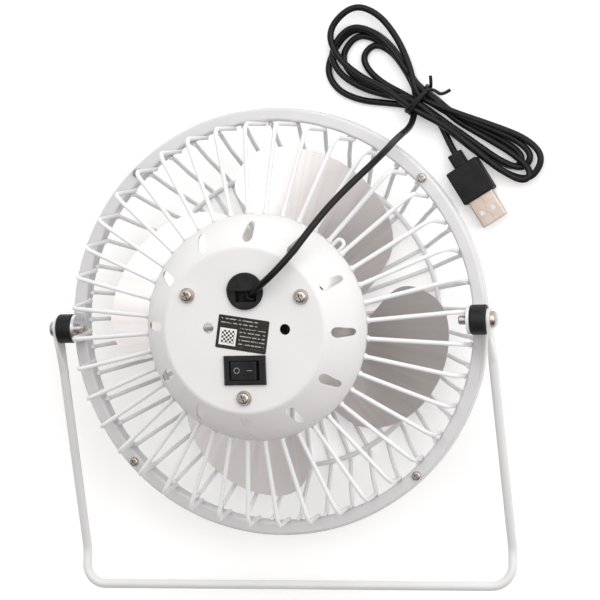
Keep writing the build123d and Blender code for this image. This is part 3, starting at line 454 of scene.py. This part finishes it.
def printed_label(name):
    """Dark rating label with generic print: a pale woven square, and two blocks of rows of plain dashes."""
    material, tree, shader, place = new_surface(name)
    local = tree.nodes.new("ShaderNodeMapping")
    local.vector_type = "TEXTURE"
    local.inputs["Location"].default_value = (LABEL_CENTRE[0] * MM, LABEL_CENTRE[1] * MM, 0)
    local.inputs["Rotation"].default_value = (0, 0, LABEL_TURN)
    local.inputs["Scale"].default_value = (MM, MM, MM)
    tree.links.new(place, local.inputs["Vector"])
    split = tree.nodes.new("ShaderNodeSeparateXYZ")
    tree.links.new(local.outputs["Vector"], split.inputs["Vector"])
    x, y = split.outputs["X"], split.outputs["Y"]
    square = panel(tree, x, y, SQUARE_X, SQUARE_Y)
    weave = tree.nodes.new("ShaderNodeTexChecker")
    weave.inputs["Scale"].default_value = WEAVE_SCALE
    tree.links.new(local.outputs["Vector"], weave.inputs["Vector"])
    core = panel(tree, x, y, WEAVE_X, WEAVE_Y)
    dark_core = value_of(tree, "MULTIPLY", core, weave.outputs["Fac"])
    print_share = value_of(tree, "SUBTRACT", square, dark_core)
    row_phase = value_of(tree, "FRACT", value_of(tree, "MULTIPLY", y, ROWS_PER_MM))
    drawn_out = stretched(tree, local.outputs["Vector"], DASH_STRETCH)
    gap = speckle(tree, drawn_out, DASHES_PER_MM, detail=0.0)
    rows = value_of(tree, "MULTIPLY", inside(tree, row_phase, *ROW_INK), inside(tree, gap, *DASH_INK))
    tall_block = panel(tree, x, y, TALL_BLOCK_X, TALL_BLOCK_Y)
    wide_block = panel(tree, x, y, WIDE_BLOCK_X, WIDE_BLOCK_Y)
    lines = value_of(tree, "MULTIPLY", rows, value_of(tree, "ADD", tall_block, wide_block))
    dashes = value_of(tree, "MULTIPLY", lines, DASH_STRENGTH)
    share = value_of(tree, "MAXIMUM", print_share, dashes)
    paper = speckle(tree, place, 500, detail=4.0)
    dark = blended(tree, paper, *LABEL_DARK_TONES)
    tree.links.new(blended(tree, share, dark, LABEL_PRINT_TONE), shader.inputs["Base Color"])
    shader.inputs["Specular IOR Level"].default_value = 0.2
    tree.links.new(speckle(tree, place, 300, 0.30, 0.42), shader.inputs["Roughness"])
    add_bump(tree, shader, speckle(tree, place, 1500, detail=2.0), 0.006)
    return material


def cad_looks():
    """Every CAD node's material, as a table from the material to the names of its nodes."""
    # One white paint covers the housing, bands, wires and stand. The bands' darker tone is painted shade
    # and the wires' lighter tone is painted light, each set to how brightly that part is lit.
    housing = coated("housing_coat", (0.78, 0.768, 0.765), (0.745, 0.733, 0.73), 0.42)
    band = coated("band_coat_painted_shade", (0.68, 0.675, 0.68), (0.645, 0.64, 0.645), 0.36)
    wires = coated("wire_coat_painted_light", (0.82, 0.825, 0.83), (0.775, 0.78, 0.785), 0.34)
    stand = coated("stand_coat", (0.74, 0.74, 0.742), (0.70, 0.70, 0.70), 0.38)
    bracket = bracket_finish("bracket_finish")
    screw = bare_metal("nickel_plate", (0.56, 0.51, 0.47), (0.42, 0.37, 0.34), 0.22, 900)
    black = moulded("black_plastic", (0.006, 0.006, 0.007), (0.014, 0.014, 0.015), 0.46, 0.012)
    rubber = moulded("grommet_rubber", (0.008, 0.008, 0.008), (0.018, 0.017, 0.017), 0.60, 0.015)
    gloss = moulded("switch_plastic", (0.007, 0.007, 0.008), (0.016, 0.016, 0.017), 0.38, 0.010)
    overmold = moulded("overmold_plastic", (0.006, 0.006, 0.007), (0.012, 0.012, 0.013), 0.55, 0.02)
    white_plastic = moulded("white_plastic", (0.76, 0.75, 0.73), (0.70, 0.69, 0.67), 0.45, 0.010)
    shell = bare_metal("shell_steel", (0.66, 0.56, 0.50), (0.58, 0.48, 0.42), 0.42, 500)
    steel = bare_metal("motor_steel", (0.62, 0.61, 0.60), (0.50, 0.49, 0.48), 0.30)
    bronze = bare_metal("sintered_bronze", (0.62, 0.43, 0.24), (0.50, 0.33, 0.18), 0.42)
    copper = bare_metal("enamelled_copper", (0.72, 0.34, 0.18), (0.60, 0.25, 0.12), 0.32)
    gold = bare_metal("contact_gold", (0.90, 0.68, 0.32), (0.82, 0.60, 0.28), 0.22)
    magnet = moulded("ferrite", (0.045, 0.045, 0.048), (0.070, 0.068, 0.066), 0.65, 0.02)
    red = moulded("red_insulation", (0.52, 0.025, 0.02), (0.42, 0.02, 0.018), 0.42, 0.008)
    blade = brushed_blade("brushed_aluminium")
    label = printed_label("printed_label")
    return {
        housing: ("rear_housing",),
        band: ("rear_band", "front_band"),
        wires: (
            "rear_cage_wires", "front_cage_wires", "front_stiffening_ring", "front_centre_ring",
            "wire_hook",
        ),
        stand: ("stand", "front_centre_cap"),
        bracket: ("pivot_brackets",),
        screw: (
            "housing_screws", "housing_washers", "band_screws", "pivot_screws", "hub_rivets",
        ),
        black: ("pivot_spacers", "motor_holder", "motor_end_cap"),
        rubber: ("cable_grommet", "cord_tie", "black_lead"),
        gloss: ("switch_body", "switch_rocker"),
        overmold: ("usb_overmold",),
        white_plastic: ("blade_cap", "usb_tongue", "blade_hub"),
        shell: ("usb_shell",),
        steel: ("motor_can", "motor_shaft", "armature_core"),
        bronze: ("motor_bushes", "motor_brushes", "motor_terminals", "switch_terminals"),
        copper: ("armature_windings", "commutator"),
        gold: ("usb_contacts",),
        magnet: ("motor_magnets",),
        red: ("red_leads",),
        blade: ("fan_blades",),
        label: ("rating_label",),
    }


def paint_nodes():
    """Gives every CAD node its material."""
    for material, names in cad_looks().items():
        for name in names:
            wear(NODES[name], material)


def wear(piece, material):
    """Sets a material on every slot of a piece, or on a new slot if it has none."""
    if not piece.material_slots:
        piece.data.materials.append(material)
    for slot in piece.material_slots:
        slot.material = material


# Small parts that only show


def new_mesh(name, vertices, faces, body, smooth=True):
    """Mesh piece that rides on a body, from vertices in metres."""
    data = bpy.data.meshes.new(name)
    data.from_pydata([tuple(v) for v in vertices], [], faces)
    for face in data.polygons:
        face.use_smooth = smooth
    piece = bpy.data.objects.new(name, data)
    bpy.context.scene.collection.objects.link(piece)
    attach(piece, body)
    return piece


def ball_shape(rings=6, sides=10):
    """Vertices and faces of a unit ball."""
    vertices = [(0, 0, 1)]
    for ring in range(1, rings):
        tilt = pi * ring / rings
        for side in range(sides):
            turn = 2 * pi * side / sides
            vertices.append((sin(tilt) * cos(turn), sin(tilt) * sin(turn), cos(tilt)))
    vertices.append((0, 0, -1))
    faces = []
    for side in range(sides):
        after = (side + 1) % sides
        faces.append((0, 1 + side, 1 + after))
        for ring in range(rings - 2):
            upper, lower = 1 + ring * sides, 1 + (ring + 1) * sides
            faces.append((upper + side, lower + side, lower + after, upper + after))
        last = 1 + (rings - 2) * sides
        faces.append((len(vertices) - 1, last + after, last + side))
    return vertices, faces


# Weld beads: their places follow the wires, and their half sizes are radial, along and up

BAND_INNER_RADIUS = 86.1
BAND_WELD_INSET = 0.9
REAR_BAND_WELD_Z = 32.6
FRONT_BAND_WELD_Z = 28.6
RIM_RADIUS = 47.4
RIM_Z = 63.3
RIM_WELD_OUTSET = 0.5
RIM_WELD_DROP = 0.35
REAR_WIRES = 40
FRONT_WIRES = 45
RIM_BEAD = (1.3, 1.45, 0.75)
REAR_BAND_BEAD = (0.75, 1.35, 1.5)
FRONT_BAND_BEAD = (0.75, 1.3, 1.4)
# Each bead sits a little to one side of its wire, in degrees
RIM_WELD_SKEW = 2.1
REAR_BAND_WELD_SKEW = 1.4
FRONT_BAND_WELD_SKEW = 2.1


def weld_places():
    """Radius, angle in degrees, height and half sizes of every bead."""
    rim_radius = RIM_RADIUS + RIM_WELD_OUTSET
    band_radius = BAND_INNER_RADIUS - BAND_WELD_INSET
    places = []
    for wire in range(REAR_WIRES):
        step = 360 * wire / REAR_WIRES
        places.append((rim_radius, step + RIM_WELD_SKEW, RIM_Z - RIM_WELD_DROP, RIM_BEAD))
        places.append((band_radius, step + REAR_BAND_WELD_SKEW, REAR_BAND_WELD_Z, REAR_BAND_BEAD))
    for wire in range(FRONT_WIRES):
        step = 360 * wire / FRONT_WIRES
        places.append((band_radius, step + FRONT_BAND_WELD_SKEW, FRONT_BAND_WELD_Z, FRONT_BAND_BEAD))
    return places


def make_welds(material):
    """All the beads as one piece: a flattened ball at each place."""
    shape, ball_faces = ball_shape()
    vertices, faces = [], []
    for radius, degrees, z, (deep, wide, high) in weld_places():
        angle = radians(degrees)
        out = Vector((cos(angle), sin(angle), 0))
        side = Vector((-sin(angle), cos(angle), 0))
        centre = out * radius + Vector((0, 0, z))
        start = len(vertices)
        for a, b, c in shape:
            spot = centre + out * (a * deep) + side * (b * wide) + Vector((0, 0, c * high))
            vertices.append(spot * MM)
        faces += [tuple(start + corner for corner in face) for face in ball_faces]
    welds = new_mesh("weld_beads", vertices, faces, "head")
    wear(welds, material)


# The rocker's printed marks

ROCKER_PIVOT = Vector((0, -16.4, 81.5))
ROCKER_HALF_LENGTH = 5.8
ROCKER_END_HEIGHT = 3.0
ROCKER_DISH_HEIGHT = 2.3
ROCKER_TILT = radians(-8)
INK_LIFT = 0.03
MARK_OFFSET = 2.9
RING_OUTER_RADIUS = 1.25
RING_INNER_RADIUS = 0.98
BAR_HALF_LENGTH = 1.25
BAR_HALF_WIDTH = 0.14


def on_rocker(x, y):
    """Point of print on the rocker's dished top, tilted with it, in metres."""
    rise = (ROCKER_END_HEIGHT - ROCKER_DISH_HEIGHT) * abs(x) / ROCKER_HALF_LENGTH
    tilt = Matrix.Rotation(ROCKER_TILT, 3, "Y")
    return (ROCKER_PIVOT + tilt @ Vector((x, y, ROCKER_DISH_HEIGHT + rise + INK_LIFT))) * MM


def flat_ring(centre_x, outer, inner, sides=28):
    """Vertices and faces of a ring printed on the rocker."""
    vertices = []
    for radius in (outer, inner):
        for side in range(sides):
            turn = 2 * pi * side / sides
            vertices.append(on_rocker(centre_x + radius * cos(turn), radius * sin(turn)))
    faces = []
    for side in range(sides):
        after = (side + 1) % sides
        faces.append((side, after, sides + after, sides + side))
    return vertices, faces


def make_rocker_marks():
    """The off ring and the on bar printed on the rocker."""
    ink = moulded("switch_ink", (0.34, 0.34, 0.33), (0.26, 0.26, 0.255), 0.5, 0.006)
    ring_vertices, ring_faces = flat_ring(-MARK_OFFSET, RING_OUTER_RADIUS, RING_INNER_RADIUS)
    ring = new_mesh("rocker_off_mark", ring_vertices, ring_faces, "rocker", smooth=False)
    wear(ring, ink)
    corners = [
        on_rocker(MARK_OFFSET + x * BAR_HALF_LENGTH, y * BAR_HALF_WIDTH)
        for x, y in ((-1, -1), (1, -1), (1, 1), (-1, 1))
    ]
    bar = new_mesh("rocker_on_mark", corners, [(0, 1, 2, 3)], "rocker", smooth=False)
    wear(bar, ink)


# The seam on the plug's shell, which starts at the grip and steps sideways twice

PLUG_CENTRE = Vector((81.7, 57.4, 4.0))
PLUG_TURN = radians(-60)
SHELL_START_X = 7.9
SHELL_TOP = 2.25
SEAM = ((0.0, 0.5), (3.0, 0.5), (4.2, -0.5), (7.4, -0.5), (8.6, 0.5), (11.9, 0.5))
SEAM_HALF_WIDTH = 0.07
SEAM_LIFT = 0.012


def on_shell(x, y):
    """Point on the shell's upper face, x from the grip towards the mouth, in metres."""
    turn = Matrix.Rotation(PLUG_TURN, 3, "Z")
    return (PLUG_CENTRE + turn @ Vector((SHELL_START_X + x, y, SHELL_TOP + SEAM_LIFT))) * MM


def make_shell_seam():
    """Fine dark line where the shell's folded sheet meets, stepped like a dovetail."""
    vertices, faces = [], []
    for (x0, y0), (x1, y1) in zip(SEAM, SEAM[1:]):
        start = len(vertices)
        vertices += [
            on_shell(x0, y0 - SEAM_HALF_WIDTH),
            on_shell(x1, y1 - SEAM_HALF_WIDTH),
            on_shell(x1, y1 + SEAM_HALF_WIDTH),
            on_shell(x0, y0 + SEAM_HALF_WIDTH),
        ]
        faces.append((start, start + 1, start + 2, start + 3))
    seam = new_mesh("shell_seam", vertices, faces, "head", smooth=False)
    wear(seam, bare_metal("seam_shadow", (0.30, 0.24, 0.21), (0.22, 0.18, 0.16), 0.5, 900))


# Plain pale floor and soft studio light

FLOOR_REACH = 6.0
FLOOR_DROP = 0.0002
FLOOR_GLOW = 0.26
FLOOR_TONES = ((0.90, 0.90, 0.90), (0.885, 0.885, 0.885))
WALL_TONE = (0.17, 0.145, 0.13)
SKY_TONE = (1.0, 1.0, 1.0)
SKY_FROM_Y, SKY_TO_Y = -0.75, 0.25
SKY_STRENGTH = 0.84
LIGHT_TARGET = (0, 0, 0.03)


def make_floor():
    """White card with a faint glow of its own, so that the shadow under the cage stays pale."""
    material, tree, shader, place = new_surface("floor_card")
    tone = speckle(tree, place, 8, detail=2.0)
    tree.links.new(blended(tree, tone, *FLOOR_TONES), shader.inputs["Base Color"])
    shader.inputs["Roughness"].default_value = 0.9
    shader.inputs["Emission Color"].default_value = (1.0, 1.0, 1.0, 1.0)
    shader.inputs["Emission Strength"].default_value = FLOOR_GLOW
    data = bpy.data.meshes.new("floor")
    corners = [
        (x * FLOOR_REACH, y * FLOOR_REACH, -FLOOR_DROP)
        for x, y in ((-1, -1), (1, -1), (1, 1), (-1, 1))
    ]
    data.from_pydata(corners, [], [(0, 1, 2, 3)])
    data.materials.append(material)
    floor = bpy.data.objects.new("floor", data)
    bpy.context.scene.collection.objects.link(floor)


def add_area_light(name, place, size, power, colour):
    """Round soft light, aimed at the middle of the fan."""
    data = bpy.data.lights.new(name, "AREA")
    data.shape = "DISK"
    data.size = size
    data.energy = power
    data.color = colour
    light = bpy.data.objects.new(name, data)
    light.location = place
    light.rotation_mode = "QUATERNION"
    light.rotation_quaternion = (Vector(LIGHT_TARGET) - Vector(place)).to_track_quat("-Z", "Y")
    bpy.context.scene.collection.objects.link(light)


def make_world():
    """Sky that is white above +Y and falls to a warm grey towards -Y, as between a window and a wall."""
    world = bpy.data.worlds.new("studio")
    world.use_nodes = True
    tree = world.node_tree
    background = tree.nodes["Background"]
    place = tree.nodes.new("ShaderNodeTexCoord").outputs["Generated"]
    split = tree.nodes.new("ShaderNodeSeparateXYZ")
    tree.links.new(place, split.inputs["Vector"])
    spread = tree.nodes.new("ShaderNodeMapRange")
    spread.interpolation_type = "SMOOTHSTEP"
    spread.inputs["From Min"].default_value = SKY_FROM_Y
    spread.inputs["From Max"].default_value = SKY_TO_Y
    tree.links.new(split.outputs["Y"], spread.inputs["Value"])
    colour = blended(tree, spread.outputs["Result"], WALL_TONE, SKY_TONE)
    tree.links.new(colour, background.inputs["Color"])
    background.inputs["Strength"].default_value = SKY_STRENGTH
    bpy.context.scene.world = world


def make_studio():
    """Floor, sky and two lights, in a view that keeps white white and black black."""
    bpy.context.scene.view_settings.view_transform = "Standard"
    make_floor()
    make_world()
    add_area_light("key", (0.40, 0.65, 1.30), size=2.2, power=15.0, colour=(1.0, 0.99, 0.98))
    add_area_light("fill", (0.9, 0.2, 0.9), size=0.7, power=2.5, colour=(0.97, 0.985, 1.0))


make_camera()
cord = make_cord()
tie = make_tie()
wear(cord, cord_jacket("cord_jacket"))
wear(tie, moulded("tie_plastic", (0.006, 0.006, 0.006), (0.014, 0.014, 0.014), 0.40, 0.01))
paint_nodes()
# The weld beads wear the wires' paint, which is lightened as painted light.
make_welds(bpy.data.materials["wire_coat_painted_light"])
make_rocker_marks()
make_shell_seam()
make_studio()
